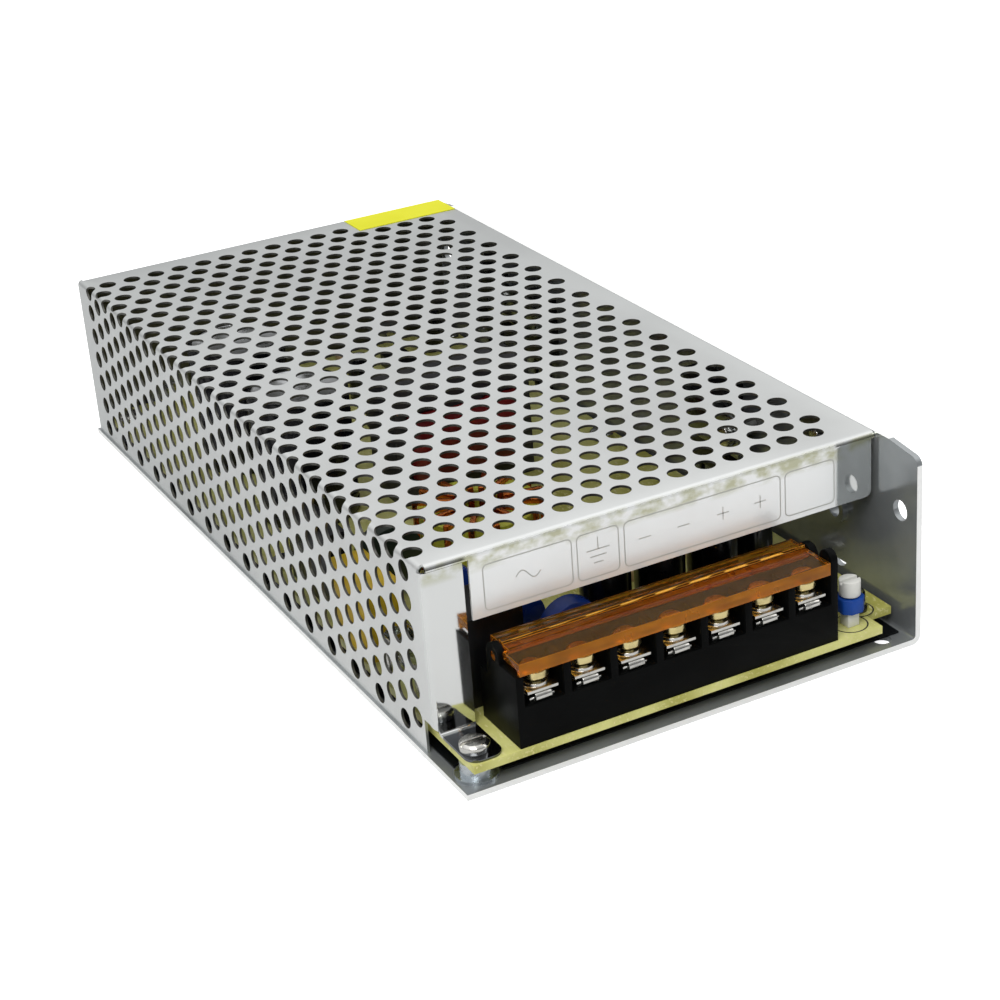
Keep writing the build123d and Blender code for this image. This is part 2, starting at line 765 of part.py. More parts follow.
def window_core(place, size, bar, leg):
    """A transformer core with two windows, its middle leg between them."""
    x, y = place
    core = boxed(place, size)
    window = (size[0] - leg) / 2 - bar / 2
    for side in (-1, 1):
        middle = x + side * (leg / 2 + window / 2)
        core -= block(
            (middle - window / 2, middle + window / 2),
            (y - size[1] / 2, y + size[1] / 2),
            (board_top + bar, board_top + size[2] - bar),
        )
    return core


def window_winding(place, size, bar, leg, depth):
    """The taped winding round a core's middle leg, which bulges out in front and behind."""
    x, y = place
    window = (size[0] - leg) / 2 - bar / 2
    half = leg / 2 + window - winding_play
    heights = (board_top + bar + winding_play, board_top + size[2] - bar - winding_play)
    coil = block((x - half, x + half), (y - depth / 2, y + depth / 2), heights)
    coil = fillet(coil.edges().filter_by(Axis.Z), window / 2)
    hole = (leg / 2 + winding_play, size[1] / 2 + winding_play)
    return coil - block((x - hole[0], x + hole[0]), (y - hole[1], y + hole[1]), heights)


def output_choke_core():
    """The ring core of the output choke, raised on its lowest turns of wire."""
    x, y = output_choke_place
    heights = (board_top + choke_wire, board_top + choke_wire + choke_height)
    return post(x, y, heights, choke_outer_radius) - post(x, y, heights, choke_inner_radius)


def output_choke_winding():
    """Separate turns of thick wire round the ring core."""
    x, y = output_choke_place
    low = board_top
    high = board_top + 2 * choke_wire + choke_height
    turns = []
    for i in range(choke_turns):
        hole = block(
            (choke_inner_radius - winding_play, choke_outer_radius + winding_play),
            (-choke_wire, choke_wire),
            (low + choke_wire, high - choke_wire),
        )
        turn = block(
            (choke_inner_radius - choke_wire, choke_outer_radius + choke_wire),
            (-choke_wire / 2, choke_wire / 2),
            (low, high),
        )
        turns.append(Pos(x, y, 0) * Rot(0, 0, 360 / choke_turns * (i + 0.5)) * (turn - hole))
    return turns


def on_wall(y, thickness, width, top):
    """A flat power device on three leads that stands against the tray's wall."""
    body = block((wall_inner - thickness, wall_inner), (y - width / 2, y + width / 2), (device_bottom, top))
    lead_x = wall_inner - thickness / 2
    for lead_y in (y - width / 3, y, y + width / 3):
        body += block(
            (lead_x - lead_width / 2, lead_x + lead_width / 2),
            (lead_y - lead_width / 2, lead_y + lead_width / 2),
            (board_top, device_bottom),
        )
    return body


def clamp_bars():
    """The aluminium bars that press the power devices to the wall."""
    heights = (clamp_bar_z - clamp_bar_width / 2, clamp_bar_z + clamp_bar_width / 2)
    ends = (transistor_rows[0] - transistor_width / 2, transistor_rows[1] + transistor_width / 2)
    long_face = wall_inner - transistor_thickness
    long_bar = block((long_face - clamp_bar_thickness, long_face), ends, heights)
    ends = (
        rectifier_row - rectifier_width / 2 - 2 * clamp_bar_overhang,
        rectifier_row + rectifier_width / 2,
    )
    short_face = wall_inner - rectifier_thickness
    short_bar = block((short_face - clamp_bar_thickness, short_face), ends, heights)
    bars = []
    for bar, face, (y, z) in zip((long_bar, short_bar), (long_face, short_face), clamp_screw_places):
        bars.append(bar - bar_x((face - clamp_bar_thickness, face), y, z, screw_radius + board_hole_play))
    return bars


def clamp_bar_screws():
    """The screws that draw the clamp bars to the tray's wall."""
    screws = []
    for depth, (y, z) in zip((transistor_thickness, rectifier_thickness), clamp_screw_places):
        seat = wall_inner - depth - clamp_bar_thickness
        head = bar_x((seat - screw_head_height, seat), y, z, screw_head_radius)
        screws.append(head + bar_x((seat, right_edge), y, z, screw_radius))
    return screws


def resistor(x, y):
    """A small axial resistor lying on the board."""
    return bar_y(x, (y - resistor_length / 2, y + resistor_length / 2), board_top + resistor_radius, resistor_radius)


os.makedirs("parts", exist_ok=True)

save("chassis", chassis())
save("mesh_cover", mesh_cover())
save("yellow_label", yellow_label())
save("cover_screws", *cover_screws())
save("standoffs", *standoffs())
save("insulating_sheet", insulating_sheet())
save("circuit_board", circuit_board())
save("foot_screw", pan_screw(foot_screw_x, foot_screw_y, foot_top, foot_top - board_bottom + standoff_base_height))
board_screw_reach = board_thickness + standoff_height - standoff_base_height
save("board_screws", *[pan_screw(x, y, board_top, board_screw_reach) for x, y in board_screw_places])
save("terminal_block", terminal_block())
save("terminal_contacts", *terminal_contacts())
for number, pole_x in enumerate(pole_places, start=1):
    save(f"clamp_plate_{number}", clamp_plate(pole_x))
    save(f"terminal_screw_{number}", terminal_screw(pole_x))
save("terminal_lid", terminal_lid())
save("trimmer_stem", trimmer_stem())
save("trimmer_body", trimmer_body())
save("trimmer_knob", trimmer_knob())
save("indicator_lamp", indicator_lamp())
save("fuse", fuse())
save("fuse_clips", *fuse_clips())
save("line_choke", boxed(line_choke_place, line_choke_size))
save("x_capacitor", boxed(x_capacitor_place, x_capacitor_size))
save(
    "disc_capacitors",
    disc(large_disc_place, large_disc_radius),
    disc(middle_disc_place, middle_disc_radius),
    disc(small_disc_place, small_disc_radius),
)
save("thermistor", disc(thermistor_place, large_disc_radius))
save("bridge_rectifier", boxed(bridge_place, bridge_size))
primary_cans = [
    can(x, y, primary_capacitor_radius, primary_capacitor_height) for x, y in primary_capacitor_places
]
save("primary_capacitors", *primary_cans)
output_cans = [can(x, y, output_capacitor_radius, output_capacitor_height) for x, y in output_capacitor_places]
save("output_capacitors", *output_cans)
save("transformer_core", window_core(transformer_place, core_size, core_bar, core_leg))
save("transformer_winding", window_winding(transformer_place, core_size, core_bar, core_leg, winding_depth))
save("driver_core", window_core(driver_place, driver_core_size, driver_core_bar, driver_core_leg))
driver_coil = window_winding(driver_place, driver_core_size, driver_core_bar, driver_core_leg, driver_winding_depth)
save("driver_winding", driver_coil)
save("output_choke_core", output_choke_core())
save("output_choke_winding", *output_choke_winding())
transistors = [on_wall(y, transistor_thickness, transistor_width, transistor_top) for y in transistor_rows]
save("power_transistors", *transistors)
save("output_rectifier", on_wall(rectifier_row, rectifier_thickness, rectifier_width, rectifier_top))
save("clamp_bars", *clamp_bars())
save("clamp_bar_screws", *clamp_bar_screws())
save("control_chip", boxed(chip_place, chip_size))
save("resistors", *[resistor(x, y) for x, y in resistor_places])
small_cans = [post(x, y, (board_top, board_top + small_can_height), small_can_radius) for x, y in small_can_places]
save("small_capacitors", *small_cans)
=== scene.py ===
"""The looks of a mesh case switching power supply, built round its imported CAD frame.

All lengths are in metres and lie in the CAD's own frame: X across the case, Y from the terminals to the
rear, Z up. Places come from the frame's boxes and from the sizes of the sheet metal named below.
"""
import json
import math

import bmesh
import bpy
from mathutils import Matrix, Vector, geometry


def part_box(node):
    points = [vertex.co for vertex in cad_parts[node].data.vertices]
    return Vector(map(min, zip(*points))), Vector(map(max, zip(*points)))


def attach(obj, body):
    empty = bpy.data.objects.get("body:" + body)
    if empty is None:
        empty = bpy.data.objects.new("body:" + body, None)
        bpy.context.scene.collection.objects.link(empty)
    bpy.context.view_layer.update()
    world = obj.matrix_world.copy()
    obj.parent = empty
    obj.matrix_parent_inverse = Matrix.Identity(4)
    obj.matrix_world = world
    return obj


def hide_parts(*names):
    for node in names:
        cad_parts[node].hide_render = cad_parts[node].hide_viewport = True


MM = 0.001

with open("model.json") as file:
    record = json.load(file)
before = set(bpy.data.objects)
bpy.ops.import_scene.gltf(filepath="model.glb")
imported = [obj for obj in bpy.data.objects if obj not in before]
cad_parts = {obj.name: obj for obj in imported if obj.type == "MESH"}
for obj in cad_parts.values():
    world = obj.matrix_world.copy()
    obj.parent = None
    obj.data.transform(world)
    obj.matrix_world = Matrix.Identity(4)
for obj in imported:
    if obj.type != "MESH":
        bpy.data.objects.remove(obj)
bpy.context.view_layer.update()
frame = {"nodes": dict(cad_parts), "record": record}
nodes = frame["nodes"]
bodies = frame["record"]["behaviour"]["bodies"]
body_of = {node: body for body, members in bodies.items() for node in members}

# Limits of the cover without its foot, which reaches farther to the front
foot_length = 11.7 * MM
cover_low, cover_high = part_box("mesh_cover")
left, right = cover_low.x, cover_high.x
front, rear = cover_low.y + foot_length, cover_high.y
bottom, top = cover_low.z, cover_high.z
board_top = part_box("circuit_board")[1].z

# Sheet metal: a run is the length of a bend's outside, and a seam the gap between two edges that meet
sheet = 0.5 * MM
bend_radius = 1.2 * MM
bend_run = bend_radius * math.pi / 2
bend_steps = 7
seam = 0.06 * MM
tray_sheet = 1.2 * MM

# Front of the cover: the flange over the terminals, and left of it the tab that ends in the foot
flange_height = 13.1 * MM
flange_corner = 1.4 * MM
flange_end_gap = 0.8 * MM
flange_polish_start, flange_polish_full = 38.4 * MM, 39.2 * MM
tab_width = 8.3 * MM
tab_right = left + tab_width
slot_width = 1.2 * MM
foot_bend = 0.4 * MM
foot_bend_steps = 4
foot_fold = board_top + sheet + foot_bend
foot_fold_run = foot_bend * math.pi / 2
foot_corner = 2.5 * MM
screw_hole = 1.6 * MM

# Cut-out at the low front corner of the perforated side, next to the foot
relief_depth = 3.7 * MM
relief_top = board_top + 2.2 * MM

# Rear wall and the lugs inside the right wall
rear_notch = 2 * MM
rear_screws = (-30 * MM, 30 * MM)
rear_screw_height = 7.5 * MM
lugs = (-70 * MM, 70 * MM)
lug_width, lug_height = 12 * MM, 9 * MM
lug_hole, lug_hole_depth = 1.55 * MM, 6 * MM

# Perforation of the cover: round holes in staggered rows across the case, counted from the rear. A row
# runs from its first hole on the top to the right, and down the left side from a depth below the top
hole_radius = 2.0 * MM
row_pitch = 5.5 * MM
row_count = 32
first_row = rear - 7.9 * MM
top_pitch = 6.07 * MM
top_first = left + 4.9 * MM
top_holes = 15
side_pitch = 5.95 * MM
side_first = 3.0 * MM
side_holes = 6
hole_sides = 24
fine_hole_sides = 32

# Marks on the flange and on the board
mark_width = 0.22 * MM
mark_height = 0.015 * MM
ring_width = 0.3 * MM
ring_height = 0.02 * MM


def tone(red, green, blue):
    """A colour given as it looks on screen, from 0 to 255, in the renderer's linear values."""
    return tuple(
        shade / 255 / 12.92 if shade <= 10 else ((shade / 255 + 0.055) / 1.055) ** 2.4
        for shade in (red, green, blue)
    )


# Materials

def new_material(name, color, roughness=0.5, metallic=0.0, **sockets):
    """A material with one colour, to which the functions below add detail."""
    material = bpy.data.materials.new(name)
    material.use_nodes = True
    inputs = material.node_tree.nodes["Principled BSDF"].inputs
    inputs["Base Color"].default_value = (*color, 1.0)
    inputs["Roughness"].default_value = roughness
    inputs["Metallic"].default_value = metallic
    for socket, value in sockets.items():
        inputs[socket.replace("_", " ")].default_value = value
    return material


def add(material, kind, **inputs):
    """A new node of a material, with some of its inputs set."""
    node = material.node_tree.nodes.new(kind)
    for name, value in inputs.items():
        node.inputs[name.replace("_", " ")].default_value = value
    return node


def link(material, source, target):
    material.node_tree.links.new(source, target)


def shader_input(material, name):
    return material.node_tree.nodes["Principled BSDF"].inputs[name]


def grain(material, scale, detail=3.0, stretch=(1, 1, 1)):
    """Noise fixed to the object, drawn out along an axis where stretch says so."""
    place = add(material, "ShaderNodeTexCoord")
    mapping = add(material, "ShaderNodeMapping", Scale=stretch)
    noise = add(material, "ShaderNodeTexNoise", Scale=scale, Detail=detail)
    link(material, place.outputs["Object"], mapping.inputs["Vector"])
    link(material, mapping.outputs["Vector"], noise.inputs["Vector"])
    return noise.outputs["Fac"]


def span(material, value, low, high, start=0.0, end=1.0):
    """A value mapped from one range to another, and kept inside it."""
    node = add(material, "ShaderNodeMapRange", From_Min=low, From_Max=high, To_Min=start, To_Max=end)
    link(material, value, node.inputs["Value"])
    return node.outputs["Result"]


def vary_color(material, color, factor):
    """Mixes another colour into what the material's colour is so far."""
    base = shader_input(material, "Base Color")
    mix = material.node_tree.nodes.new("ShaderNodeMix")
    mix.data_type = "RGBA"
    first, second = (s for s in mix.inputs if s.type == "RGBA")
    if base.is_linked:
        link(material, base.links[0].from_socket, first)
    else:
        first.default_value = base.default_value
    second.default_value = (*color, 1.0)
    link(material, factor, mix.inputs[0])
    link(material, next(s for s in mix.outputs if s.type == "RGBA"), base)


def vary_roughness(material, factor, low, high):
    """Spreads the roughness between two values over the usual range of a noise."""
    link(material, span(material, factor, 0.3, 0.7, low, high), shader_input(material, "Roughness"))


def roughen(material, factor, distance, strength=0.5):
    """Adds a fine relief of the given depth."""
    bump = add(material, "ShaderNodeBump", Strength=strength, Distance=distance)
    normal = shader_input(material, "Normal")
    if normal.is_linked:
        link(material, normal.links[0].from_socket, bump.inputs["Normal"])
    link(material, factor, bump.inputs["Height"])
    link(material, bump.outputs["Normal"], normal)


def object_axis(material, axis):
    """A point's place along one of the object's axes."""
    place = add(material, "ShaderNodeTexCoord")
    split = add(material, "ShaderNodeSeparateXYZ")
    link(material, place.outputs["Object"], split.inputs["Vector"])
    return split.outputs[axis]


def calculate(material, operation, first, second):
    """The result of a two-value calculation on node outputs."""
    node = material.node_tree.nodes.new("ShaderNodeMath")
    node.operation = operation
    link(material, first, node.inputs[0])
    link(material, second, node.inputs[1])
    return node.outputs["Value"]


def multiply(material, first, second):
    return calculate(material, "MULTIPLY", first, second)


def maximum(material, first, second):
    return calculate(material, "MAXIMUM", first, second)


def between(material, factor, first, second):
    """The first value where the factor is 0 and the second where it is 1."""
    mix = material.node_tree.nodes.new("ShaderNodeMix")
    link(material, factor, mix.inputs[0])
    link(material, first, mix.inputs[2])
    link(material, second, mix.inputs[3])
    return mix.outputs[0]


def plated_steel():
    """The cover: satin plate with painted shade that darkens it to the rear, a pale flange, polish on
    the tab and on the flange's right end, a foot darkened by painted reflection, and stains below the front
    fold."""
    material = new_material("plated steel", tone(222, 224, 223), 0.34, 1.0)
    across, along, height = (object_axis(material, axis) for axis in "XYZ")
    broad = grain(material, 22, 4)
    fine = grain(material, 900, 2, (1, 6, 1))
    on_front = span(material, along, front + 0.6 * MM, front + 0.1 * MM)
    on_foot = span(material, along, front - 0.8 * MM, front - 1.2 * MM)
    past_tab = span(material, across, tab_right + 0.1 * MM, tab_right + 0.9 * MM)
    before_end = span(material, across, flange_polish_start, flange_polish_full, 1.0, 0.0)
    on_satin_flange = multiply(material, past_tab, before_end)
    on_flange_face = multiply(material, on_front, on_satin_flange)
    below_fold = span(material, height, top - 4.2 * MM, top - 2.2 * MM)
    stains = span(material, grain(material, 230, 5, (1, 1, 1.5)), 0.4, 0.6)

    vary_color(material, tone(208, 210, 209), span(material, broad, 0.42, 0.68))
    # Painted shade: the colour grows darker from the front towards the rear
    vary_color(material, tone(178, 182, 182), span(material, along, front, rear, 0.0, 0.55))
    # Painted reflection: the foot's colour is darkened to stand in for the dark parts it reflects
    vary_color(material, tone(106, 109, 114), on_foot)
    pale = multiply(material, on_flange_face, span(material, broad, 0.2, 0.5))
    vary_color(material, tone(238, 240, 240), pale)
    stained = multiply(material, multiply(material, on_front, below_fold), stains)
    vary_color(material, tone(186, 187, 160), stained)

    satin = span(material, fine, 0.3, 0.7, 0.3, 0.38)
    polish = span(material, on_satin_flange, 0.0, 1.0, 0.07, 0.24)
    link(material, between(material, on_front, satin, polish), shader_input(material, "Roughness"))
    link(material, span(material, on_flange_face, 0.0, 1.0, 1.0, 0.35), shader_input(material, "Metallic"))
    roughen(material, fine, 0.01 * MM, 0.12)
    return material


def mill_aluminium(name, cut_edges=False):
    """Dull sheet with fine lines along its length and cloudy patches, and on the tray also pale cut edges,
    partly a painted highlight, and a slightly more matt wall."""
    material = new_material(name, tone(156, 160, 162), 0.2, 1.0)
    lines = grain(material, 700, 3, (1, 0.04, 1))
    cloud = grain(material, 45, 4)
    vary_color(material, tone(128, 132, 134), span(material, cloud, 0.4, 0.7))
    gloss = span(material, cloud, 0.3, 0.7, 0.13, 0.24)
    if cut_edges:
        low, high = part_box("chassis")
        outer, inner = 0.02 * MM, 0.04 * MM
        across, along, height = (object_axis(material, axis) for axis in "XYZ")
        at_front = span(material, along, low.y + inner, low.y + outer)
        at_left = span(material, across, low.x + inner, low.x + outer)
        at_top = span(material, height, high.z - inner, high.z - outer)
        edge = maximum(material, maximum(material, at_front, at_left), at_top)
        # The cut edges are painted near white and matt: a paler cut face, and partly a painted highlight
        # along the edge
        vary_color(material, tone(246, 247, 246), edge)
        matt = span(material, cloud, 0.3, 0.7, 0.45, 0.6)
        gloss = maximum(material, gloss, multiply(material, edge, matt))
        wall_inside = high.x - tray_sheet
        metallic = span(material, across, wall_inside, wall_inside + 0.3 * MM, 0.6, 0.55)
        link(material, metallic, shader_input(material, "Metallic"))
    link(material, gloss, shader_input(material, "Roughness"))
    roughen(material, lines, 0.006 * MM, 0.3)
    return material


def metal(name, color, roughness):
    """Plated hardware with darker spots and slightly uneven gloss."""
    material = new_material(name, color, roughness, 1.0)
    spots = grain(material, 500, 3)
    vary_color(material, tuple(0.72 * c for c in color), span(material, spots, 0.52, 0.75))
    vary_roughness(material, spots, roughness - 0.08, roughness + 0.08)
    return material


def plastic(name, color, roughness, relief, shade, **sockets):
    """Moulded plastic with a fine skin of the given relief, and patches as dark as the shade says."""
    material = new_material(name, color, roughness, 0.0, **sockets)
    skin = grain(material, 1400, 2)
    cloud = grain(material, 120, 3)
    vary_color(material, tuple(shade * c for c in color), span(material, cloud, 0.4, 0.7))
    vary_roughness(material, cloud, roughness - 0.06, roughness + 0.08)
    roughen(material, skin, relief, 0.3)
    return material


def phenolic():
    """The board: yellow-tan paper laminate with flecks and a darker mottle."""
    material = new_material("phenolic board", tone(210, 209, 134), 0.42, Specular_IOR_Level=0.3)
    fleck = grain(material, 1800, 4, (1, 0.35, 1))
    cloud = grain(material, 70, 3)
    vary_color(material, tone(166, 163, 80), span(material, cloud, 0.4, 0.68))
    vary_color(material, tone(214, 208, 150), span(material, fleck, 0.55, 0.72))
    vary_roughness(material, cloud, 0.34, 0.5)
    roughen(material, fleck, 0.02 * MM, 0.3)
    return material


def amber():
    """The lid: clear amber plastic with faint flow marks."""
    material = new_material("clear amber", tone(234, 180, 80), 0.03, Transmission_Weight=0.97, IOR=1.2)
    flow = grain(material, 90, 2, (1, 2, 1))
    vary_color(material, tone(220, 160, 60), span(material, flow, 0.35, 0.7))
    return material


def clear(name, color):
    """Clear plastic or glass with a slightly wavy face."""
    material = new_material(name, color, 0.05, Transmission_Weight=1.0, IOR=1.48)
    roughen(material, grain(material, 300, 2), 0.02 * MM, 0.2)
    return material


def tape():
    """Maroon winding tape with the edges of its turns."""
    material = new_material("maroon tape", tone(128, 26, 30), 0.3)
    turns = grain(material, 600, 2, (0.05, 0.05, 1))
    vary_color(material, tone(92, 14, 20), span(material, turns, 0.4, 0.62))
    roughen(material, turns, 0.08 * MM, 0.5)
    return material


looks = {
    "steel": plated_steel(),
    # Painted shade: the inside of the cover and lugs and the walls of the holes are darker steel than the
    # outside
    "steel inside with painted shade": metal("steel inside with painted shade", tone(112, 112, 108), 0.45),
    "aluminium": mill_aluminium("mill aluminium"),
    "tray": mill_aluminium("tray aluminium", cut_edges=True),
    "board": phenolic(),
    "amber": amber(),
    # Painted glow: a less clear, orange plastic on the lid's edges and lip stands in for the light they
    # gather
    "amber edge with painted glow": plastic(
        "amber edge with painted glow", tone(212, 130, 10), 0.3, 0.01 * MM, 0.6, Transmission_Weight=0.6, IOR=1.3
    ),
    "label": plastic("yellow label", tone(208, 207, 32), 0.6, 0.004 * MM, 0.95, Specular_IOR_Level=0.2),
    "hardware": metal("plated hardware", tone(206, 205, 200), 0.22),
    "brass": metal("pale brass", tone(222, 206, 150), 0.25),
    "post": metal("plated post", tone(190, 196, 200), 0.3),
    "black": plastic("black moulding", tone(6, 7, 7), 0.42, 0.02 * MM, 0.7, Specular_IOR_Level=0.05),
    "sheet": plastic("black sheet", tone(12, 14, 16), 0.32, 0.01 * MM, 0.8, Specular_IOR_Level=0.2),
    "case": plastic("black case", tone(16, 16, 18), 0.3, 0.01 * MM, 0.8, Specular_IOR_Level=0.3),
    "sleeve": plastic("black sleeve", tone(10, 12, 18), 0.22, 0.01 * MM, 0.8, Specular_IOR_Level=0.4),
    "can": metal("can top", tone(214, 216, 218), 0.32),
    "white": plastic("white plastic", tone(216, 216, 210), 0.42, 0.01 * MM, 0.92),
    "blue": plastic("blue plastic", tone(22, 66, 146), 0.4, 0.01 * MM, 0.8, Specular_IOR_Level=0.2),
    "clear": clear("clear lamp", tone(235, 240, 232)),
    "glass": clear("fuse glass", tone(228, 238, 232)),
    "yellow box": plastic("yellow box", tone(226, 190, 40), 0.35, 0.01 * MM, 0.85),
    "blue disc": plastic("blue enamel", tone(28, 62, 150), 0.25, 0.03 * MM, 0.8),
    "green disc": plastic("green enamel", tone(30, 44, 34), 0.35, 0.03 * MM, 0.8),
    "ferrite": plastic("ferrite", tone(52, 52, 54), 0.55, 0.03 * MM, 0.75),
    "ring": plastic("ring coat", tone(196, 200, 70), 0.4, 0.02 * MM, 0.8),
    "tape": tape(),
    "copper": metal("enamelled copper", tone(208, 116, 52), 0.28),
    "beige": plastic("beige lacquer", tone(206, 178, 140), 0.4, 0.02 * MM, 0.85),
    "print": plastic("dark print", tone(40, 40, 34), 0.6, 0.004 * MM, 0.8),
    "etch": plastic("etched line", tone(176, 177, 172), 0.6, 0.004 * MM, 0.85, Specular_IOR_Level=0.3),
}


# Meshes

def finish_mesh(mesh, crease=35):
    """Smooth shading that stops at edges sharper than the crease, in degrees."""
    mesh.shade_smooth()
    mesh.set_sharp_from_angle(angle=math.radians(crease))


def show(name, mesh, look, body="case", replaces=()):
    """Puts a mesh in the scene as a piece that rides on a CAD body."""
    piece = bpy.data.objects.new(name, mesh)
    bpy.context.scene.collection.objects.link(piece)
    mesh.materials.append(looks[look])
    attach(piece, body)
    if replaces:
        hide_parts(*replaces)
    return piece


def mesh_from(name, shape):
    """A mesh made of a bmesh, which is then freed."""
    mesh = bpy.data.meshes.new(name)
    bmesh.ops.recalc_face_normals(shape, faces=shape.faces[:])
    shape.to_mesh(mesh)
    shape.free()
    return mesh


def softened(node, look, width=0.15 * MM, segments=2):
    """Shows a CAD node with its sharp edges rounded."""
    sharp_angle = math.radians(40)
    shape = bmesh.new()
    shape.from_mesh(nodes[node].data)
    bmesh.ops.remove_doubles(shape, verts=shape.verts[:], dist=0.001 * MM)
    bmesh.ops.dissolve_limit(shape, angle_limit=math.radians(1), verts=shape.verts[:], edges=shape.edges[:])
    closed = [edge for edge in shape.edges if len(edge.link_faces) == 2]
    sharp = [edge for edge in closed if edge.calc_face_angle(0) > sharp_angle]
    bmesh.ops.bevel(
        shape,
        geom=sharp,
        offset=width,
        offset_type="OFFSET",
        segments=segments,
        profile=0.5,
        affect="EDGES",
        clamp_overlap=True,
    )
    bmesh.ops.triangulate(shape, faces=[f for f in shape.faces if len(f.verts) > 4])
    mesh = mesh_from(node + "_form", shape)
    finish_mesh(mesh)
    return show(node + "_look", mesh, look, body_of[node], replaces=(node,))


def circle(x, y, radius, sides):
    """Points of a circle round a centre."""
    return [
        (x + radius * math.cos(2 * math.pi * i / sides), y + radius * math.sin(2 * math.pi * i / sides))
        for i in range(sides)
    ]


def rounded(corner, start, turn, radius, steps=6):
    """Points of a quarter circle round a corner's centre, from a start angle in degrees."""
    return [
        (
            corner[0] + radius * math.cos(math.radians(start + turn * i / steps)),
            corner[1] + radius * math.sin(math.radians(start + turn * i / steps)),
        )
        for i in range(steps + 1)
    ]


def inside(point, outline):
    """Whether a point lies within a closed outline."""
    crossings = 0
    for start, end in zip(outline, outline[1:] + outline[:1]):
        if (start[1] > point.y) != (end[1] > point.y):
            share = (point.y - start[1]) / (end[1] - start[1])
            crossings += start[0] + share * (end[0] - start[0]) > point.x
    return crossings % 2 == 1


def flat_blank(outline, holes, cuts):
    """The points, triangles and edges of a flat blank with holes, divided along its fold lines."""
    points, edges, loop_of = [], [], []
    for number, loop in enumerate([outline, *holes]):
        start = len(points)
        points += [Vector(p) for p in loop]
        loop_of += [number] * len(loop)
        edges += [(start + i, start + (i + 1) % len(loop)) for i in range(len(loop))]
    made, _, faces, origins, *_ = geometry.delaunay_2d_cdt(points, edges, [], 1, 1e-8)
    blank = bmesh.new()
    corners = [blank.verts.new((p.x, p.y, 0)) for p in made]
    for face in faces:
        loops = {loop_of[origins[i][0]] for i in face}
        middle = sum((made[i] for i in face), Vector((0, 0))) / 3
        if len(loops) > 1 or (0 in loops and inside(middle, outline)):
            blank.faces.new([corners[i] for i in face])
    for place, normal in cuts:
        everything = blank.verts[:] + blank.edges[:] + blank.faces[:]
        bmesh.ops.bisect_plane(blank, geom=everything, dist=1e-8, plane_co=place, plane_no=normal)
    bmesh.ops.triangulate(blank, faces=[f for f in blank.faces if len(f.verts) > 3])
    blank.verts.index_update()
    flat = [v.co.xy.copy() for v in blank.verts]
    triangles = [[v.index for v in f.verts] for f in blank.faces]
    rims = []
    for edge in blank.edges:
        if len(edge.link_faces) == 1:
            loop = edge.link_loops[0]
            rims.append((loop.vert.index, loop.link_loop_next.vert.index))
    blank.free()
    return flat, triangles, rims


def rim_loops(flat, rims):
    """The closed loops of a blank's edges, the one round its outside first."""
    following = dict(rims)
    loops = []
    while following:
        start, point = following.popitem()
        loop = [(start, point)]
        while point in following:
            ahead = following.pop(point)
            loop.append((point, ahead))
            point = ahead
        loops.append(loop)
    return sorted(loops, key=lambda loop: -sum((flat[a] - flat[b]).length for a, b in loop))


def folded_sheet(name, outline, holes, cuts, place, thickness):
    """A folded sheet: place gives a point's position for its flat place and its depth in the sheet.
    The inner face and the walls of the holes get the mesh's second material, a darker steel that is painted
    shade."""
    flat, triangles, rims = flat_blank(outline, holes, cuts)
    count = len(flat)
    points = [place(p.x, p.y, 0) for p in flat] + [place(p.x, p.y, thickness) for p in flat]
    faces = [tuple(t) for t in triangles]
    faces += [tuple(count + i for i in reversed(t)) for t in triangles]
    edge_first = len(faces)
    outside, *pierced = rim_loops(flat, rims)
    faces += [(b, a, count + a, count + b) for a, b in outside]
    hole_first = len(faces)
    faces += [(b, a, count + a, count + b) for loop in pierced for a, b in loop]
    mesh = bpy.data.meshes.new(name)
    mesh.from_pydata(points, [], faces)
    for number, polygon in enumerate(mesh.polygons):
        takes_painted_shade = len(triangles) <= number < edge_first or number >= hole_first
        polygon.material_index = 1 if takes_painted_shade else 0
    shape = bmesh.new()
    shape.from_mesh(mesh)
    bmesh.ops.recalc_face_normals(shape, faces=shape.faces[:])
    shape.to_mesh(mesh)
    shape.free()
    finish_mesh(mesh, 40)
    return mesh


# The cover

def bend(run, depth):
    """How far out and down a sheet has come, at a run past the start of its bend and a depth in it."""
    if run <= 0:
        return run, depth
    if run < bend_run:
        reach = bend_radius - depth
        return reach * math.sin(run / bend_radius), bend_radius - reach * math.cos(run / bend_radius)
    return bend_radius - depth, bend_radius + run - bend_run


def foot_point(x, height, depth):
    """A point of the foot, which folds out of the tab's lower end."""
    run = foot_fold - height
    angle = min(run, foot_fold_run) / foot_bend
    reach = foot_bend + depth
    straight = max(run - foot_fold_run, 0)
    y = front - foot_bend + reach * math.cos(angle) - straight
    return Vector((x, y, foot_fold - reach * math.sin(angle)))


def cover_point(u, v, depth):
    """Where a point of the cover's flat blank lies once it is folded."""
    side_run = left + bend_radius - u
    front_run = front + bend_radius - v
    rear_run = v - (rear - bend_radius)
    if rear_run > bend_run:
        out, down = bend(rear_run, depth)
        return Vector((u, rear - bend_radius + out, top - down))
    if side_run > bend_run and front_run > 0:
        height = top - bend_radius - (side_run - bend_run)
        out, inward = bend(front_run, depth)
        if height < foot_fold:
            return foot_point(left + bend(front_run, 0)[1], height, depth)
        return Vector((left + inward, front + bend_radius - out, height))
    if side_run > 0:
        out, down = bend(side_run, depth)
        return Vector((left + bend_radius - out, v, top - down))
    if front_run > 0:
        out, down = bend(front_run, depth)
        return Vector((u, front + bend_radius - out, top - down))
    out, down = bend(rear_run, depth)
    return Vector((u, rear - bend_radius + out, top - down))


def lug_point(y, z, depth):
    """A point of a lug, which lies flat against the right wall."""
    return Vector((right - depth, y, z))


